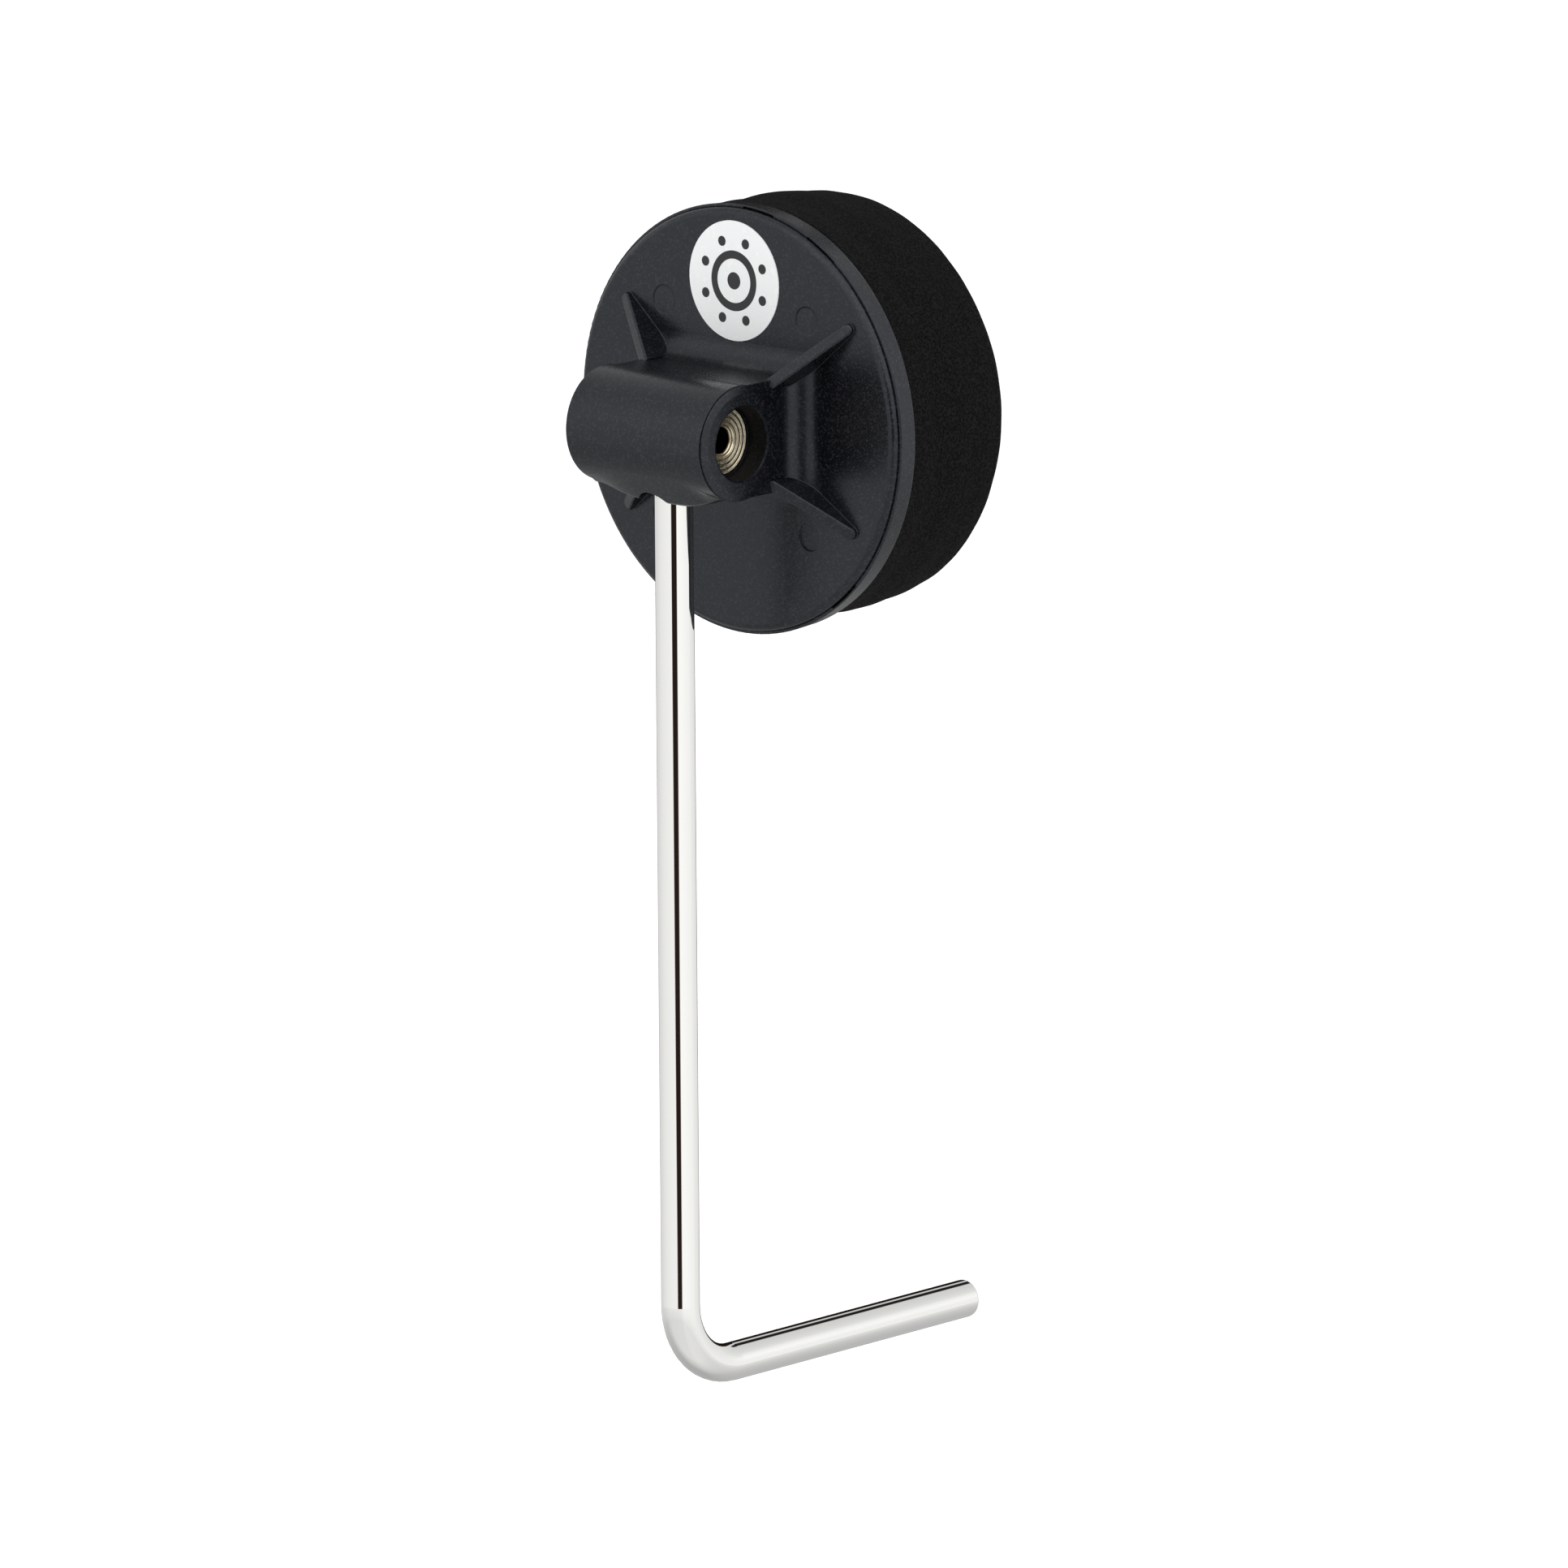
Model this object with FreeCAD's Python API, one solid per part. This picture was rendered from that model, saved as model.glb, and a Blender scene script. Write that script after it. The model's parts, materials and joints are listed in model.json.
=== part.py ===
import FreeCAD, Part
import math
import os

# Foam pedal beater: an L-shaped rod carries a round foam pad on a moulded head.
# Millimetres. +Z is up along the shaft, +Y is the way the pad strikes.
# The origin is on the axis of the short leg, in the middle of its straight length, where a
# pedal's clamp grips it. The head is drawn about the shaft's axis and moved there at the end.

V = FreeCAD.Vector
X_AXIS = V(1, 0, 0)
Y_AXIS = V(0, 1, 0)
Z_AXIS = V(0, 0, 1)

# Rod
rod_r = 4.0
bend_r = 15.0
leg_end_y = 88.0
rod_top_z = 204.5
leg_edge_r = 0.7
top_chamfer = 0.5
grip_from_shaft = 52.0

# Head: heights are above the leg's axis, depths are from the shaft's axis
head_z = 198.8
plate_front_y = 18.6
plate_t = 3.0
plate_r = 44.1
plate_edge_r = 1.5

# Dish behind the plate
dish_r = 44.8
dish_taper = 0.3
dish_edge_r = 0.2
lip_gap = 0.02
lip_depth = 1.5
dish_floor_t = 3.0
pry_slot_angles = (-49.5, 59.0, 83.0)
pry_slot_span = 8.5
pry_slot_depth = 0.35

# Pad
glue_t = 0.3
glue_inset = 1.2
foam_r = 43.8
foam_t = 30.9
foam_edge_r = 3.0
foam_offset = (0.0, 0.55)

# Clamp barrel, along X
barrel_r = 12.0
barrel_far_x = -19.0
barrel_body_x = 18.4
barrel_end_x = 19.25
collar_r = 11.85
collar_bevel_x = 0.35
collar_bevel_r = 1.5
neck_r = 11.55
neck_w = 0.2
bore_r = 7.4
bore_far_x = -14.0
mouth_r = 7.6
mouth_chamfer = 0.3

# Pedestal between the barrel and the plate
pedestal_left_x = -18.5
pedestal_right_x = 18.2
pedestal_half_h = 11.7
side_fillet_r = 6.0
end_fillet_r = 4.8

# Gussets: each crest's start at the pedestal and end on the plate, across and up
gusset_t = 2.5
gusset_start_y = 9.6
gusset_tip_h = 1.3
gusset_edge_r = 0.45
gusset_crests = (
    ((-17.5, 11.0), (-30.0, 22.1)),
    ((17.8, 10.9), (32.0, 22.7)),
    ((-17.5, -10.1), (-29.9, -21.2)),
    ((17.8, -10.1), (32.7, -19.5)),
)

# Boss under the barrel, round the shaft's opening (each section: x, rise of its bottom)
boss_bottom_z = 184.85
boss_corner = (-3.7, 1.2)
boss_back_y = 8.0
boss_sections = (
    (-18.0, 2.07), (-12.0, 1.03), (-6.5, 0.12), (-1.0, 0.0),
    (4.0, 0.0), (7.5, 0.1), (12.8, 1.15), (18.2, 2.5),
)
opening_x = -1.7
opening_r = 5.9

# Metal clamp insert and its set screw
insert_r = 7.35
insert_near_x = 13.8
insert_far_x = -13.8
insert_chamfer = 0.4
rod_clearance = 0.05
screw_r = 2.675
screw_clearance = 0.05
screw_tip_x = 4.1
screw_length = 6.0
screw_tip_chamfer = 0.7
screw_end_chamfer = 0.3
socket_flats = 3.0
socket_depth = 2.6
countersink_r = 3.7
groove_pitch = 1.1
groove_depth = 0.12
groove_w = 0.35

# Label and moulding marks (each mark: across, up from the head's centre, depth)
label_r = 12.5
label_t = 0.2
label_rise = 29.1
pin_mark_r = 3.0
pin_marks = ((-20.0, 22.9, 0.15), (20.0, 22.9, 0.15), (-20.5, -21.8, 0.15), (20.5, -21.8, 0.4))


def disc(radius, depth, y):
    """A round plate about the head's axis, from depth y towards +Y."""
    return Part.makeCylinder(radius, depth, V(0, y, head_z), Y_AXIS)


def bar(radius, x_from, x_to):
    """A round bar about the barrel's axis."""
    return Part.makeCylinder(radius, x_to - x_from, V(x_from, 0, head_z), X_AXIS)


def ring_groove(outer_r, inner_r, x_from, x_to):
    """The ring that a turning tool would take out of a bar."""
    return bar(outer_r, x_from, x_to).cut(bar(inner_r, x_from, x_to))


def circle_edges(shape, radius, axis, position):
    """The full-circle edges of one radius that lie at one position along an axis."""
    found = []
    for edge in shape.Edges:
        if isinstance(edge.Curve, Part.Circle) and abs(edge.Curve.Radius - radius) < 1e-4:
            if abs(edge.Curve.Center.dot(axis) - position) < 1e-4:
                found.append(edge)
    return found


def beater_rod():
    bend_mid = bend_r * (1 - math.sqrt(0.5))
    shaft = Part.LineSegment(V(0, 0, rod_top_z), V(0, 0, bend_r)).toShape()
    bend = Part.Arc(V(0, 0, bend_r), V(0, bend_mid, bend_mid), V(0, bend_r, 0)).toShape()
    leg = Part.LineSegment(V(0, bend_r, 0), V(0, leg_end_y, 0)).toShape()
    section = Part.Wire([Part.makeCircle(rod_r, V(0, 0, rod_top_z), Z_AXIS)])
    rod = Part.Wire([shaft, bend, leg]).makePipeShell([section], True, False)
    rod = rod.makeFillet(leg_edge_r, circle_edges(rod, rod_r, Y_AXIS, leg_end_y))
    return rod.makeChamfer(top_chamfer, circle_edges(rod, rod_r, Z_AXIS, rod_top_z))


def boss_profile(x, drop):
    """Section of the boss at x: flat below, rounded at the front, tangent to the barrel."""
    corner_y, corner_r = boss_corner
    corner_z = boss_bottom_z + corner_r + drop
    low = V(x, corner_y, corner_z - corner_r)
    # The front face is the outer tangent of the barrel's circle and the corner's circle.
    reach = math.hypot(corner_y, corner_z - head_z)
    to_corner = math.atan2(corner_z - head_z, corner_y)
    turn = math.acos(min(1.0, (barrel_r - corner_r) / reach))
    lean = to_corner - turn
    front = V(x, corner_y + corner_r * math.cos(lean), corner_z + corner_r * math.sin(lean))
    on_barrel = V(x, barrel_r * math.cos(lean), head_z + barrel_r * math.sin(lean))
    middle = (lean - math.pi / 2) / 2
    bulge = V(x, corner_y + corner_r * math.cos(middle), corner_z + corner_r * math.sin(middle))
    back_low = V(x, boss_back_y, corner_z - corner_r)
    back_high = V(x, boss_back_y, head_z)
    edges = [
        Part.Arc(front, bulge, low).toShape(),
        Part.LineSegment(low, back_low).toShape(),
        Part.LineSegment(back_low, back_high).toShape(),
        Part.LineSegment(back_high, on_barrel).toShape(),
        Part.LineSegment(on_barrel, front).toShape(),
    ]
    return Part.Wire(edges)


def boss():
    """Deepest round the opening, with a smooth ramp up to the barrel on each side."""
    return Part.makeLoft([boss_profile(x, rise) for x, rise in boss_sections], True, False)


def gusset(start_place, tip_place):
    """A web with a flat crest, from a corner of the pedestal out to the plate."""
    start = V(start_place[0], gusset_start_y, head_z + start_place[1])
    tip = V(tip_place[0], plate_front_y - gusset_tip_h, head_z + tip_place[1])
    along = (tip - start).normalize()
    end = tip + along * (gusset_t / 2)
    base_y = plate_front_y + plate_t / 2
    outline = [start, end, V(end.x, base_y, end.z), V(start.x, base_y, start.z), start]
    across = along.cross(Y_AXIS).normalize()
    web = Part.Face(Part.makePolygon(outline)).extrude(across * gusset_t)
    web.translate(across * (-gusset_t / 2))
    web = web.makeFillet(gusset_t * 0.45, [edge for edge in web.Edges if is_line(edge, Y_AXIS, end.x)])
    return web.makeFillet(gusset_edge_r, [edge for edge in web.Edges if is_line(edge, along)])


def is_line(edge, along, near_x=None):
    """True for a straight edge along one direction, within a web's thickness of one x."""
    if not isinstance(edge.Curve, Part.Line):
        return False
    if near_x is not None and abs(edge.CenterOfMass.x - near_x) > gusset_t:
        return False
    return abs(abs(edge.Curve.Direction.dot(along)) - 1) < 1e-6


def pedestal():
    """The block from the barrel back to the plate."""
    width = pedestal_right_x - pedestal_left_x
    corner = V(pedestal_left_x, 0, head_z - pedestal_half_h)
    return Part.makeBox(width, plate_front_y + plate_t / 2, 2 * pedestal_half_h, corner)


def back_plate():
    plate = disc(plate_r, plate_t, plate_front_y)
    plate = plate.makeFillet(plate_edge_r, circle_edges(plate, plate_r, Y_AXIS, plate_front_y))
    body = plate.fuse(pedestal())
    body = body.makeFillet(side_fillet_r, [edge for edge in body.Edges if on_foot(edge, Z_AXIS)])
    body = body.makeFillet(end_fillet_r, [edge for edge in body.Edges if on_foot(edge, X_AXIS)])

    bevel_x = barrel_end_x - collar_bevel_x
    collar = bar(collar_r, barrel_body_x + neck_w, bevel_x)
    bevel = Part.makeCone(
        collar_r, collar_r - collar_bevel_r, collar_bevel_x, V(bevel_x, 0, head_z), X_AXIS
    )
    neck = bar(neck_r, barrel_body_x - 1, bevel_x)
    barrel = bar(barrel_r, barrel_far_x, barrel_body_x)
    gussets = [gusset(start, tip) for start, tip in gusset_crests]
    body = body.fuse([barrel, neck, collar, bevel, boss()] + gussets)
    for cutter in barrel_hollows() + pin_mark_hollows():
        body = body.cut(cutter)
    return body.removeSplitter()


def on_foot(edge, along):
    """True for a straight edge along one axis where the pedestal meets the plate."""
    if not is_line(edge, along):
        return False
    return all(abs(vertex.Point.y - plate_front_y) < 1e-4 for vertex in edge.Vertexes)


def barrel_hollows():
    bore = bar(bore_r, bore_far_x, insert_near_x)
    mouth = bar(mouth_r, insert_near_x, barrel_end_x)
    bevel = Part.makeCone(
        mouth_r, mouth_r + mouth_chamfer, mouth_chamfer,
        V(barrel_end_x - mouth_chamfer, 0, head_z), X_AXIS,
    )
    opening = Part.makeCylinder(
        opening_r, head_z - boss_bottom_z + 1, V(opening_x, 0, boss_bottom_z - 1)
    )
    return [bore, mouth, bevel, opening]


def pin_mark_hollows():
    return [
        Part.makeCylinder(pin_mark_r, depth, V(x, plate_front_y, head_z + z), Y_AXIS)
        for x, z, depth in pin_marks
    ]


def pad_carrier():
    """The dish that the plate sits in and the foam is glued to."""
    lip_front_y = plate_front_y + plate_t - lip_depth
    floor_y = plate_front_y + plate_t
    height = lip_depth + dish_floor_t
    outer = Part.makeCone(dish_r, dish_r - dish_taper, height, V(0, lip_front_y, head_z), Y_AXIS)
    outer = outer.makeFillet(dish_edge_r, circle_edges(outer, dish_r, Y_AXIS, lip_front_y))
    dish = outer.cut(disc(plate_r + lip_gap, lip_depth, lip_front_y))
    for angle in pry_slot_angles:
        slot = disc(plate_r + lip_gap + pry_slot_depth, lip_depth, lip_front_y)
        keep = Part.makeBox(pry_slot_span, floor_y, dish_r * 2, V(-pry_slot_span / 2, 0, 0))
        keep.rotate(V(0, 0, 0), Y_AXIS, 90 - angle)
        keep.translate(V(0, 0, head_z))
        dish = dish.cut(slot.common(keep))
    return dish


def pad_glue():
    return disc(dish_r - dish_taper - glue_inset, glue_t, dish_back_y())


def foam_pad():
    """The pad is glued on by hand, a little off the dish's centre."""
    foam = disc(foam_r, foam_t, dish_back_y() + glue_t)
    front_y = dish_back_y() + glue_t + foam_t
    foam = foam.makeFillet(foam_edge_r, circle_edges(foam, foam_r, Y_AXIS, front_y))
    across, up = foam_offset
    foam.translate(V(across, 0, up))
    return foam


def dish_back_y():
    return plate_front_y + plate_t + dish_floor_t


def clamp_insert():
    """Turned slug: the shaft passes across it and the set screw comes in along its axis."""
    slug = bar(insert_r, insert_far_x, insert_near_x)
    slug = slug.makeChamfer(insert_chamfer, circle_edges(slug, insert_r, X_AXIS, insert_near_x))
    hole_r = rod_r + rod_clearance
    cross_hole = Part.makeCylinder(hole_r, 3 * insert_r, V(0, 0, head_z - 1.5 * insert_r))
    thread = bar(screw_r + screw_clearance, 0, insert_near_x)
    sink_depth = countersink_r - screw_r - screw_clearance
    sink = Part.makeCone(
        screw_r + screw_clearance, countersink_r, sink_depth,
        V(insert_near_x - sink_depth, 0, head_z), X_AXIS,
    )
    slug = slug.cut(cross_hole.fuse([thread, sink]))
    radius = countersink_r + groove_w
    while radius + groove_w < insert_r - insert_chamfer:
        mark = ring_groove(radius + groove_w, radius, insert_near_x - groove_depth, insert_near_x)
        slug = slug.cut(mark)
        radius = radius + groove_pitch
    return slug


def set_screw():
    """Socket set screw, drawn at its thread's pitch diameter."""
    screw = bar(screw_r, screw_tip_x, screw_tip_x + screw_length)
    end_x = screw_tip_x + screw_length
    screw = screw.makeChamfer(screw_tip_chamfer, circle_edges(screw, screw_r, X_AXIS, screw_tip_x))
    screw = screw.makeChamfer(screw_end_chamfer, circle_edges(screw, screw_r, X_AXIS, end_x))
    corner_r = socket_flats / math.sqrt(3)
    corners = [
        V(
            end_x - socket_depth,
            corner_r * math.cos(math.radians(60 * i)),
            head_z + corner_r * math.sin(math.radians(60 * i)),
        )
        for i in range(7)
    ]
    socket = Part.Face(Part.makePolygon(corners)).extrude(X_AXIS * socket_depth)
    return screw.cut(socket)


def label():
    centre = V(0, plate_front_y - label_t, head_z + label_rise)
    return Part.makeCylinder(label_r, label_t, centre, Y_AXIS)


nodes = {
    "beater_rod": beater_rod,
    "back_plate": back_plate,
    "pad_carrier": pad_carrier,
    "pad_glue": pad_glue,
    "foam_pad": foam_pad,
    "clamp_insert": clamp_insert,
    "set_screw": set_screw,
    "label": label,
}

os.makedirs("parts", exist_ok=True)
for name, make in nodes.items():
    shape = make()
    shape.translate(V(0, -grip_from_shaft, 0))
    shape.exportStep("parts/" + name + ".step")
    print(name, shape.isValid(), len(shape.Solids), round(shape.Volume, 1))
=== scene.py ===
import json
import math
import bmesh
import bpy
from mathutils import Matrix, Vector, noise

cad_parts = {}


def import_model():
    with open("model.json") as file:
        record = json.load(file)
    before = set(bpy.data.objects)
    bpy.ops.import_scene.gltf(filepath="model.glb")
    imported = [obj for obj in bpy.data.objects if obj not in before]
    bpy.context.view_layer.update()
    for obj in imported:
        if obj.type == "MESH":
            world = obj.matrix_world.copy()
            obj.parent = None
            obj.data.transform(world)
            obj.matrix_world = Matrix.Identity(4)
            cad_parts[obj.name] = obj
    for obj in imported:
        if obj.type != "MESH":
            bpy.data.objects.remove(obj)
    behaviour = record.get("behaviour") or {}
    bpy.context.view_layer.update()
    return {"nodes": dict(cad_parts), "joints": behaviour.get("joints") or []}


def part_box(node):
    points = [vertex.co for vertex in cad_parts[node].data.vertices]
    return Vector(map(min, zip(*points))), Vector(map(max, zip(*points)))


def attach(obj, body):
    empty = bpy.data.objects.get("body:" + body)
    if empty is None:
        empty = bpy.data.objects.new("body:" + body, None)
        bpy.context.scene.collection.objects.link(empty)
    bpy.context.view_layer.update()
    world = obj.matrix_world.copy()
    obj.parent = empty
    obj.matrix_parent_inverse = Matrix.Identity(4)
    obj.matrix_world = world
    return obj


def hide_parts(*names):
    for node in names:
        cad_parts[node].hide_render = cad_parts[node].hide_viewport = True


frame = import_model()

MM = 0.001

# ---------------------------------------------------------------- places taken from the frame
nodes = frame["nodes"]
joints = {j["name"]: j for j in frame["joints"]}
barrel_centre = Vector(joints["head_tilt"]["pos_m"])
foam_low, foam_high = (Vector(c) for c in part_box("foam_pad"))
label_low, label_high = (Vector(c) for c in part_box("label"))
label_centre = (label_low + label_high) / 2


# ---------------------------------------------------------------- material helpers
class Shader:
    """A Principled material and short calls that add the nodes it needs."""

    def __init__(self, name, colour, roughness, metallic=0.0, specular=0.5):
        self.material = bpy.data.materials.new(name)
        self.material.use_nodes = True
        self.tree = self.material.node_tree
        self.bsdf = self.tree.nodes["Principled BSDF"]
        self.set("Base Color", (*colour, 1))
        self.set("Roughness", roughness)
        self.set("Metallic", metallic)
        self.set("Specular IOR Level", specular)
        self.coords = self.add("ShaderNodeTexCoord").outputs["Object"]

    def set(self, socket, value):
        self.bsdf.inputs[socket].default_value = value

    def add(self, kind, **values):
        node = self.tree.nodes.new(kind)
        for key, value in values.items():
            if key in node.inputs:
                node.inputs[key].default_value = value
            else:
                setattr(node, key, value)
        return node

    def link(self, out, into):
        self.tree.links.new(out, into)

    def noise(self, scale, detail=3.0, rough=0.5):
        """Soft noise with about this many features to the metre."""
        node = self.add("ShaderNodeTexNoise", Scale=scale, Detail=detail, Roughness=rough)
        self.link(self.coords, node.inputs["Vector"])
        return node.outputs["Fac"]

    def cells(self, scale):
        """Round cells, about this many to the metre."""
        node = self.add("ShaderNodeTexVoronoi", Scale=scale)
        self.link(self.coords, node.inputs["Vector"])
        return node.outputs["Distance"]

    def specks(self, scale):
        """A different value in each cell, with about this many cells to the metre."""
        node = self.add("ShaderNodeTexVoronoi", Scale=scale)
        self.link(self.coords, node.inputs["Vector"])
        return node.outputs["Color"]

    def ramp(self, value, low, high, out_low=0.0, out_high=1.0):
        """Map low to high onto out_low to out_high, and stop there."""
        node = self.add("ShaderNodeMapRange")
        node.inputs["From Min"].default_value = low
        node.inputs["From Max"].default_value = high
        node.inputs["To Min"].default_value = out_low
        node.inputs["To Max"].default_value = out_high
        self.link(value, node.inputs["Value"])
        return node.outputs["Result"]

    def mix(self, factor, first, second):
        """A colour between two. Either may be a colour or a shader value."""
        node = self.add("ShaderNodeMix")
        node.data_type = "RGBA"
        self.link(factor, node.inputs["Factor"])
        for name, colour in (("A", first), ("B", second)):
            if isinstance(colour, tuple):
                node.inputs[name].default_value = (*colour, 1)
            else:
                self.link(colour, node.inputs[name])
        return node.outputs["Result"]

    def maths(self, operation, first, second=None):
        node = self.add("ShaderNodeMath")
        node.operation = operation
        for socket, value in zip(node.inputs, (first, second)):
            if isinstance(value, (int, float)):
                socket.default_value = value
            elif value is not None:
                self.link(value, socket)
        return node.outputs["Value"]

    def bump(self, height, distance, strength=1.0, normal=None):
        node = self.add("ShaderNodeBump", Distance=distance, Strength=strength)
        self.link(height, node.inputs["Height"])
        if normal is not None:
            self.link(normal, node.inputs["Normal"])
        return node.outputs["Normal"]

    def rounded_edges(self, radius):
        """A normal that makes sharp edges catch the light as if they were rounded."""
        node = self.add("ShaderNodeBevel", Radius=radius)
        node.samples = 6
        return node.outputs["Normal"]

    def finish(self, normal=None, colour=None, roughness=None):
        for value, socket in ((normal, "Normal"), (colour, "Base Color"), (roughness, "Roughness")):
            if value is not None:
                self.link(value, self.bsdf.inputs[socket])
        return self.material


def chrome():
    """Bright plating with faint smears."""
    s = Shader("chrome", (0.93, 0.926, 0.905), 0.03, metallic=1.0)
    smears = s.noise(140, 4)
    specks = s.noise(2600, 2)
    rough = s.ramp(smears, 0.35, 0.75, 0.018, 0.05)
    return s.finish(normal=s.bump(specks, 0.002 * MM, 0.2), roughness=rough)


def from_barrel(s):
    """Place along each axis from the middle of the barrel, as shader values."""
    place = s.add("ShaderNodeVectorMath")
    place.operation = "SUBTRACT"
    place.inputs[1].default_value = barrel_centre
    s.link(s.coords, place.inputs[0])
    split = s.add("ShaderNodeSeparateXYZ")
    s.link(place.outputs["Vector"], split.inputs[0])
    return [split.outputs[axis] for axis in "XYZ"]


def away(s, first, second):
    """Distance from an axis, from the places along the two others."""
    squares = [s.maths("MULTIPLY", value, value) for value in (first, second)]
    return s.maths("SQRT", s.maths("ADD", *squares))


def moulded_plastic(name, tone):
    """Finely sparked black plastic, with painted glints in its colour. The bore and the rod's opening are
    dull, and dark with painted shade.
    """
    s = Shader(name, tone, 0.27)
    s.set("Specular Tint", (0.84, 0.9, 1.0, 1))
    pits = s.cells(2600)
    drift = s.noise(60, 3)
    normal = s.bump(pits, 0.01 * MM, 0.6, s.rounded_edges(0.35 * MM))
    dark = tuple(c * 0.75 for c in tone)
    light = tuple(c * 1.3 for c in tone)
    # The bore's mouth, and the opening under the barrel, whose middle is off the rod's: both get painted
    # shade.
    mouth_r, mouth_depth_x = 8.05 * MM, 10 * MM
    opening_r, opening_x, opening_z = 5.96 * MM, -1.7 * MM, -4 * MM
    x, y, z = from_barrel(s)
    near_bore = s.maths("LESS_THAN", away(s, y, z), mouth_r)
    in_mouth = s.maths("MULTIPLY", near_bore, s.maths("GREATER_THAN", x, mouth_depth_x))
    near_opening = s.maths("LESS_THAN", away(s, s.maths("SUBTRACT", x, opening_x), y), opening_r)
    in_opening = s.maths("MULTIPLY", near_opening, s.maths("LESS_THAN", z, opening_z))
    painted_shade_in_bore = s.maths("MAXIMUM", in_mouth, in_opening)
    # Painted shade: in the bore and the opening the plastic turns partly metallic, so its near-black
    # colour darkens what it reflects.
    s.link(s.maths("MULTIPLY", painted_shade_in_bore, 0.6), s.bsdf.inputs["Metallic"])
    rough = s.maths("ADD", s.ramp(pits, 0.1, 0.8, 0.22, 0.34), s.maths("MULTIPLY", painted_shade_in_bore, 0.25))
    # Painted glints: lighter specks in the colour stand in for sparks of light off the grain.
    painted_glints = s.ramp(s.specks(2600), 0.6, 0.85)
    colour = s.mix(painted_glints, s.mix(drift, dark, light), (0.015, 0.0155, 0.018))
    return s.finish(normal=normal, colour=colour, roughness=rough)


def foam():
    """Open-cell foam: pores, fuzz and soft clumps, with painted shade where the pores and fuzz sit low.
    """
    s = Shader("foam", (0.005, 0.005, 0.0052), 0.95, specular=0.09)
    pores = s.cells(1900)
    fuzz = s.noise(2200, 3, 0.7)
    clumps = s.noise(600, 3, 0.6)
    height = s.maths("ADD", pores, s.maths("ADD", fuzz, s.maths("MULTIPLY", clumps, 0.5)))
    normal = s.bump(height, 0.22 * MM, 1.0)
    # Painted shade: the colour is darker where the pores and the fuzz sit low, as shade in the hollows.
    shade = s.maths("ADD", s.maths("MULTIPLY", pores, 0.5), s.maths("MULTIPLY", fuzz, 0.5))
    colour = s.mix(s.ramp(shade, 0.35, 0.65), (0.0012, 0.0012, 0.0014), (0.0105, 0.0098, 0.0102))
    return s.finish(normal=normal, colour=colour)


def turned_metal():
    """Brass turned on its end face, with rings about the screw's hole. The rings are darker in their
    grooves and the threaded hole is near black: both painted shade.
    """
    # The second colour is painted shade in the grooves of the rings; the third is painted shade in the
    # threaded hole.
    bright, groove_painted_shade, hole_painted_shade = (0.92, 0.83, 0.62), (0.36, 0.29, 0.18), (0.02, 0.01, 0.006)
    fine_pitch, coarse_pitch = 0.36 * MM, 1.1 * MM
    thread_r, thread_end_r = 2.78 * MM, 2.95 * MM
    s = Shader("turned_metal", bright, 0.25, metallic=1.0)
    x, y, z = from_barrel(s)
    radius = away(s, y, z)
    rings = s.maths("SINE", s.maths("MULTIPLY", radius, 2 * math.pi / fine_pitch))
    broad = s.maths("SINE", s.maths("MULTIPLY", radius, 2 * math.pi / coarse_pitch))
    chatter = s.noise(1500, 3)
    height = s.maths("ADD", rings, s.maths("MULTIPLY", broad, 2.2))
    height = s.maths("ADD", height, s.maths("MULTIPLY", chatter, 0.5))
    normal = s.bump(height, 0.026 * MM, 0.85, s.rounded_edges(0.15 * MM))
    # Painted shade: the colour follows the rings' height, darker where they sit low.
    ring_painted_shading = s.maths("ADD", rings, s.maths("ADD", broad, s.maths("MULTIPLY", chatter, 2.0)))
    ringed = s.mix(s.ramp(ring_painted_shading, -0.7, 1.5), groove_painted_shade, bright)
    # Painted shade: inside the thread's radius the colour turns near black, as the shade deep in the
    # screw's hole.
    colour = s.mix(s.ramp(radius, thread_r, thread_end_r), hole_painted_shade, ringed)
    return s.finish(normal=normal, colour=colour, roughness=s.ramp(chatter, 0.3, 0.7, 0.24, 0.4))


def black_oxide():
    """Blackened steel."""
    s = Shader("black_oxide", (0.05, 0.05, 0.055), 0.4, metallic=0.9)
    normal = s.bump(s.noise(3000, 2), 0.01 * MM, 0.5)
    return s.finish(normal=normal, roughness=s.ramp(s.noise(900, 3), 0.3, 0.7, 0.3, 0.5))


def label_film():
    """White glossy film."""
    s = Shader("label_film", (0.86, 0.88, 0.88), 0.22)
    mottle = s.noise(420, 3)
    normal = s.bump(mottle, 0.01 * MM, 0.3)
    return s.finish(normal=normal, roughness=s.ramp(mottle, 0.3, 0.7, 0.18, 0.3))


def print_ink():
    """Black printing ink."""
    s = Shader("print_ink", (0.012, 0.012, 0.014), 0.35)
    normal = s.bump(s.noise(2500, 2), 0.004 * MM, 0.4)
    return s.finish(normal=normal, roughness=s.ramp(s.noise(500, 3), 0.3, 0.7, 0.28, 0.42))


def glue():
    """Yellowed adhesive film."""
    s = Shader("glue", (0.30, 0.27, 0.20), 0.35)
    normal = s.bump(s.noise(800, 3), 0.05 * MM, 0.6)
    return s.finish(normal=normal, roughness=s.ramp(s.noise(300, 2), 0.3, 0.7, 0.25, 0.5))


def paint(obj, material):
    obj.data.materials.clear()
    obj.data.materials.append(material)


# ---------------------------------------------------------------- mesh helpers
def new_piece(name, bm, body, material, smooth=True):
    """Turn a finished bmesh into a painted object that rides on a body."""
    mesh = bpy.data.meshes.new(name)
    bm.normal_update()
    bm.to_mesh(mesh)
    bm.free()
    for polygon in mesh.polygons:
        polygon.use_smooth = smooth
    obj = bpy.data.objects.new(name, mesh)
    bpy.context.scene.collection.objects.link(obj)
    paint(obj, material)
    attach(obj, body)
    return obj


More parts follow.
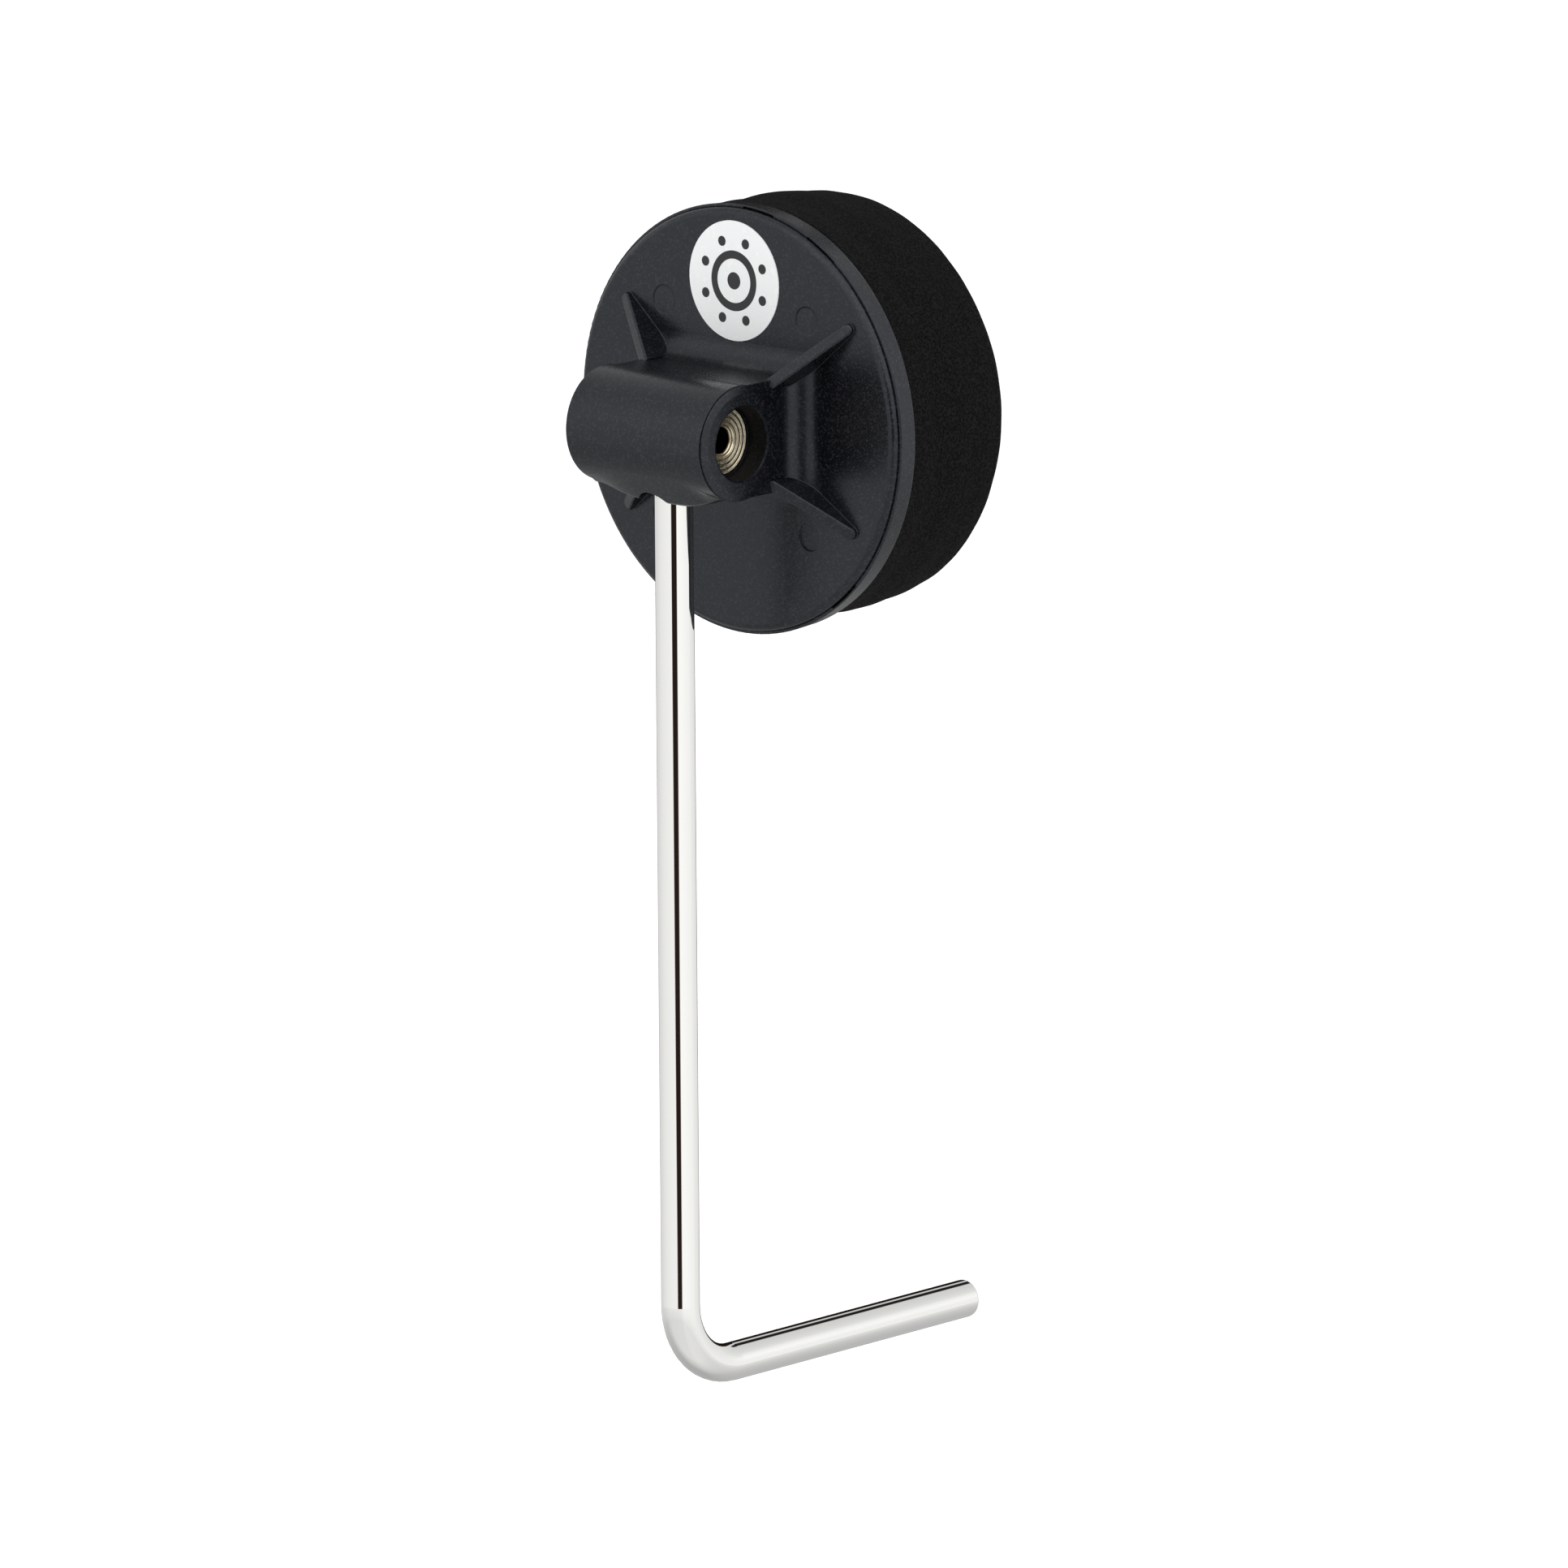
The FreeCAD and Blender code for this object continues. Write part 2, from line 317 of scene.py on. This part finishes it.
# ---------------------------------------------------------------- foam pad
foam_r = (foam_high.x - foam_low.x) / 2
foam_depth = foam_high.y - foam_low.y
foam_edge_r = 4.2 * MM


def foam_profile():
    """(radius, depth) from the middle of the back face round to the middle of the front face."""
    back_y, front_y = foam_low.y, foam_high.y
    # How far the side stands in from the back rim's radius, in mm, by share of the depth.
    hollows = [(0.0, 0.0), (0.13, 0.2), (0.27, 0.75), (0.5, 0.45), (0.75, 0.9), (1.0, 2.2)]
    side_steps, edge_steps = 36, 10
    points = [(foam_r * f, back_y) for f in (0.0, 0.3, 0.6, 0.85, 0.96)]
    for i in range(side_steps + 1):
        share = i / side_steps * (foam_depth - foam_edge_r) / foam_depth
        for (t0, h0), (t1, h1) in zip(hollows, hollows[1:]):
            if t0 <= share <= t1:
                blend = (1 - math.cos(math.pi * (share - t0) / (t1 - t0))) / 2
                inward = (h0 + (h1 - h0) * blend) * MM
        points.append((foam_r - inward, back_y + share * foam_depth))
    face_r = points[-1][0] - foam_edge_r
    for i in range(1, edge_steps + 1):
        a = i / edge_steps * math.pi / 2
        out, forward = foam_edge_r * math.cos(a), foam_edge_r * math.sin(a)
        points.append((face_r + out, front_y - foam_edge_r + forward))
    points += [(face_r * f, front_y) for f in (0.96, 0.9, 0.8, 0.65, 0.45, 0.22, 0.0)]
    return points


def foam_swell(a, y):
    """How far the cut side stands out at angle a and depth y: it is a little full above and below."""
    full_places = [(107, 25, 0.85), (287, 20, 0.5)]  # middle and spread in degrees, height in mm
    swell = 0.0
    for place, spread, most in full_places:
        away = (math.degrees(a) - place + 180) % 360 - 180
        swell += most * MM * math.exp(-(away / spread) ** 2)
    return swell * math.sin(math.pi * (y - foam_low.y) / foam_depth)


def foam_piece():
    """The profile turned about its axis, with slow and quick unevenness in the cut side."""
    turns = 220
    slow_scale, slow_height = 55, 0.35 * MM
    quick_scale, quick_height = 260, 0.1 * MM
    centre_x = (foam_low.x + foam_high.x) / 2
    centre_z = (foam_low.z + foam_high.z) / 2
    bm = bmesh.new()
    rows = []
    for radius, y in foam_profile():
        if radius == 0.0:
            rows.append([bm.verts.new((centre_x, y, centre_z))])
            continue
        row = []
        for i in range(turns):
            a = 2 * math.pi * i / turns
            p = Vector((centre_x + radius * math.cos(a), y, centre_z + radius * math.sin(a)))
            out = Vector((math.cos(a), 0.0, math.sin(a)))
            share = radius / foam_r
            wander = noise.noise(p * slow_scale) * slow_height
            wander += noise.noise(p * quick_scale) * quick_height
            row.append(bm.verts.new(p + out * (wander + foam_swell(a, y)) * share))
        rows.append(row)
    for first, second in zip(rows, rows[1:]):
        for i in range(turns):
            j = (i + 1) % turns
            if len(first) == 1:
                bm.faces.new((first[0], second[i], second[j]))
            elif len(second) == 1:
                bm.faces.new((first[j], first[i], second[0]))
            else:
                bm.faces.new((first[j], first[i], second[i], second[j]))
    bmesh.ops.recalc_face_normals(bm, faces=bm.faces)
    piece = new_piece("foam_pad_soft", bm, "head", foam())
    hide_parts("foam_pad")


# ---------------------------------------------------------------- label print
def add_ring(bm, centre, inner, outer, front_y, back_y, turns=96):
    """A flat printed ring, or a dot when inner is 0, standing a hair proud of the label."""
    loops = []
    for radius, y in ((inner, front_y), (outer, front_y), (outer, back_y)):
        loops.append([
            bm.verts.new((
                centre[0] + radius * math.cos(2 * math.pi * i / turns), y,
                centre[1] + radius * math.sin(2 * math.pi * i / turns),
            ))
            for i in range(turns)
        ] if radius > 0 else [bm.verts.new((centre[0], y, centre[1]))])
    for first, second in zip(loops, loops[1:]):
        for i in range(turns):
            j = (i + 1) % turns
            if len(first) == 1:
                bm.faces.new((first[0], second[i], second[j]))
            else:
                bm.faces.new((first[j], first[i], second[i], second[j]))


def label_print():
    """A plain pictogram of a drum seen from above: a ring, its lugs and a dot."""
    ring_inner_r, ring_outer_r, dot_r = 4.6 * MM, 6.3 * MM, 1.8 * MM
    lugs, lug_circle_r, lug_r = 8, 8.6 * MM, 1.05 * MM
    bm = bmesh.new()
    front_y = label_low.y - 0.02 * MM
    back_y = label_low.y + 0.05 * MM
    centre = (label_centre.x, label_centre.z)
    add_ring(bm, centre, ring_inner_r, ring_outer_r, front_y, back_y)
    add_ring(bm, centre, 0.0, dot_r, front_y, back_y, 40)
    for i in range(lugs):
        a = 2 * math.pi * (i + 0.5) / lugs
        lug = (centre[0] + lug_circle_r * math.cos(a), centre[1] + lug_circle_r * math.sin(a))
        add_ring(bm, lug, 0.0, lug_r, front_y, back_y, 24)
    bmesh.ops.recalc_face_normals(bm, faces=bm.faces)
    new_piece("label_print", bm, "head", print_ink(), smooth=False)


# ---------------------------------------------------------------- CAD nodes' materials
plastic = moulded_plastic("head_plastic", (0.0022, 0.0024, 0.0036))
finishes = {
    "beater_rod": chrome(),
    "back_plate": plastic,
    "pad_carrier": plastic,
    "pad_glue": glue(),
    "clamp_insert": turned_metal(),
    "set_screw": black_oxide(),
    "label": label_film(),
}
for name, material in finishes.items():
    paint(nodes[name], material)

foam_piece()
label_print()


# ---------------------------------------------------------------- studio
def floor():
    """A white floor below the object. It glows a little, so that it stays white in its own shade."""
    reach, drop = 3.0, 0.06
    mesh = bpy.data.meshes.new("floor")
    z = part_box("beater_rod")[0][2] - drop
    corners = [(-reach, -reach, z), (reach, -reach, z), (reach, reach, z), (-reach, reach, z)]
    mesh.from_pydata(corners, [], [(0, 1, 2, 3)])
    obj = bpy.data.objects.new("floor", mesh)
    bpy.context.scene.collection.objects.link(obj)
    s = Shader("floor", (0.95, 0.95, 0.95), 0.9, specular=0.0)
    s.set("Emission Color", (1, 1, 1, 1))
    s.set("Emission Strength", 0.2)
    paint(obj, s.material)
    obj.visible_glossy = False


def camera():
    """A long lens that looks down a little at the object's front right."""
    azimuth, elevation, roll = math.radians(42.981), math.radians(11.983), math.radians(-0.377)
    distance, lens, sensor = 3.0, 334.8, 36.0
    from_shaft = Vector((16.2, 15.1, 125.15)) * MM
    target = from_shaft + Vector((0, barrel_centre.y, 0))
    back = Vector((
        math.sin(azimuth) * math.cos(elevation),
        -math.cos(azimuth) * math.cos(elevation),
        math.sin(elevation),
    ))
    right = Vector((math.cos(azimuth), math.sin(azimuth), 0))
    up = back.cross(right)
    c, s = math.cos(roll), math.sin(roll)
    right, up = right * c + up * s, up * c - right * s
    data = bpy.data.cameras.new("camera")
    data.sensor_width = sensor
    data.lens = lens
    data.clip_start = 0.1
    data.clip_end = 50
    obj = bpy.data.objects.new("camera", data)
    axes = Matrix((right, up, back)).transposed().to_4x4()
    obj.matrix_world = Matrix.Translation(target + back * distance) @ axes
    bpy.context.scene.collection.objects.link(obj)
    bpy.context.scene.camera = obj


def world():
    """White to the camera. To reflections it is a soft tent, dimmer behind, with three dark cards."""
    scene_world = bpy.data.worlds.new("studio")
    bpy.context.scene.world = scene_world
    scene_world.use_nodes = True
    tree = scene_world.node_tree
    tree.nodes.clear()

    def add(kind, **values):
        node = tree.nodes.new(kind)
        for key, value in values.items():
            setattr(node, key, value)
        return node

    def dot(direction):
        """How nearly a ray points this way: 1 along it, -1 against it."""
        node = add("ShaderNodeVectorMath", operation="DOT_PRODUCT")
        tree.links.new(coords, node.inputs[0])
        node.inputs[1].default_value = direction
        return node.outputs["Value"]

    def remap(value, points):
        """Straight lines through (value, result) points, for values from -1 to 1."""
        node = add("ShaderNodeFloatCurve")
        scaled = add("ShaderNodeMapRange")
        scaled.inputs["From Min"].default_value = -1
        tree.links.new(value, scaled.inputs["Value"])
        tree.links.new(scaled.outputs["Result"], node.inputs["Value"])
        curve = node.mapping.curves[0]
        while len(curve.points) < len(points):
            curve.points.new(0.5, 0.5)
        for point, (x, y) in zip(curve.points, points):
            point.location = ((x + 1) / 2, y / 2)
            point.handle_type = "VECTOR"
        node.mapping.update()
        return maths("MULTIPLY", node.outputs["Value"], 2.0)

    def maths(operation, first, second):
        node = add("ShaderNodeMath", operation=operation)
        for socket, value in zip(node.inputs, (first, second)):
            if isinstance(value, (int, float)):
                socket.default_value = value
            else:
                tree.links.new(value, socket)
        return node.outputs["Value"]

    coords = add("ShaderNodeTexCoord").outputs["Generated"]
    front, slit = math.radians(43), math.radians(40.6)
    facing = dot((math.sin(front), -math.cos(front), 0))
    beside = dot((math.cos(front), math.sin(front), 0))
    height = dot((0, 0, 1))

    # The tent: brightest level in front, a little dimmer behind and towards the floor there.
    around = remap(facing, [(-1, 0.5), (-0.9, 0.70), (0, 0.86), (1, 0.95)])
    level = remap(height, [
        (-1, 0.52), (-0.7, 0.6), (-0.45, 0.7), (-0.25, 0.98), (0.2, 1), (0.67, 0.8), (1, 0.75),
    ])
    to_right = remap(beside, [(-1, 1.0), (0.05, 1.0), (0.3, 1.1), (1, 1.1)])
    tent = maths("MULTIPLY", maths("MULTIPLY", around, level), to_right)
    above = remap(height, [(-1, 0.3), (-0.6, 0.15), (-0.25, 0), (0, 0), (0.5, 0.6), (0.9, 0.9), (1, 0.9)])
    ahead = remap(facing, [(-1, 0), (-0.2, 0), (0.3, 1), (1, 1)])
    tent = maths("ADD", tent, maths("MULTIPLY", above, ahead))

    # Dark cards in front, behind and above, seen only as thin lines in the chrome.
    card_darkness = 0.98
    along_slit = dot((math.sin(slit), -math.cos(slit), 0))
    wide = remap(along_slit, [(-1, 0), (0.9435, 0), (0.9465, 1), (1, 1)])
    low = remap(height, [(-1, 0), (-0.27, 0), (-0.262, 1), (1, 1)])
    behind = remap(along_slit, [(-1, 1), (-0.918, 1), (-0.915, 0), (1, 0)])
    strip = maths("MAXIMUM", maths("MULTIPLY", wide, low), behind)
    overhead = dot(Vector((-0.327, 0.715, 0.617)).normalized())
    card = remap(overhead, [(-1, 0), (0.9898, 0), (0.9912, 1), (1, 1)])
    dark = maths("MAXIMUM", strip, card)
    lit = maths("MULTIPLY", tent, maths("SUBTRACT", 1.0, maths("MULTIPLY", dark, card_darkness)))

    tint = add("ShaderNodeMix", data_type="RGBA")
    tree.links.new(strip, tint.inputs["Factor"])
    tint.inputs["A"].default_value = (1, 1, 1, 1)
    tint.inputs["B"].default_value = (1.0, 0.66, 0.54, 1)

    path = add("ShaderNodeLightPath")
    to_camera = add("ShaderNodeBackground")
    to_camera.inputs["Color"].default_value = (1, 1, 1, 1)
    to_object = add("ShaderNodeBackground")
    tree.links.new(lit, to_object.inputs["Strength"])
    tree.links.new(tint.outputs["Result"], to_object.inputs["Color"])
    mix = add("ShaderNodeMixShader")
    tree.links.new(path.outputs["Is Camera Ray"], mix.inputs[0])
    tree.links.new(to_object.outputs[0], mix.inputs[1])
    tree.links.new(to_camera.outputs[0], mix.inputs[2])
    output = add("ShaderNodeOutputWorld")
    tree.links.new(mix.outputs[0], output.inputs["Surface"])


bpy.context.scene.view_settings.view_transform = "Standard"
floor()
camera()
world()
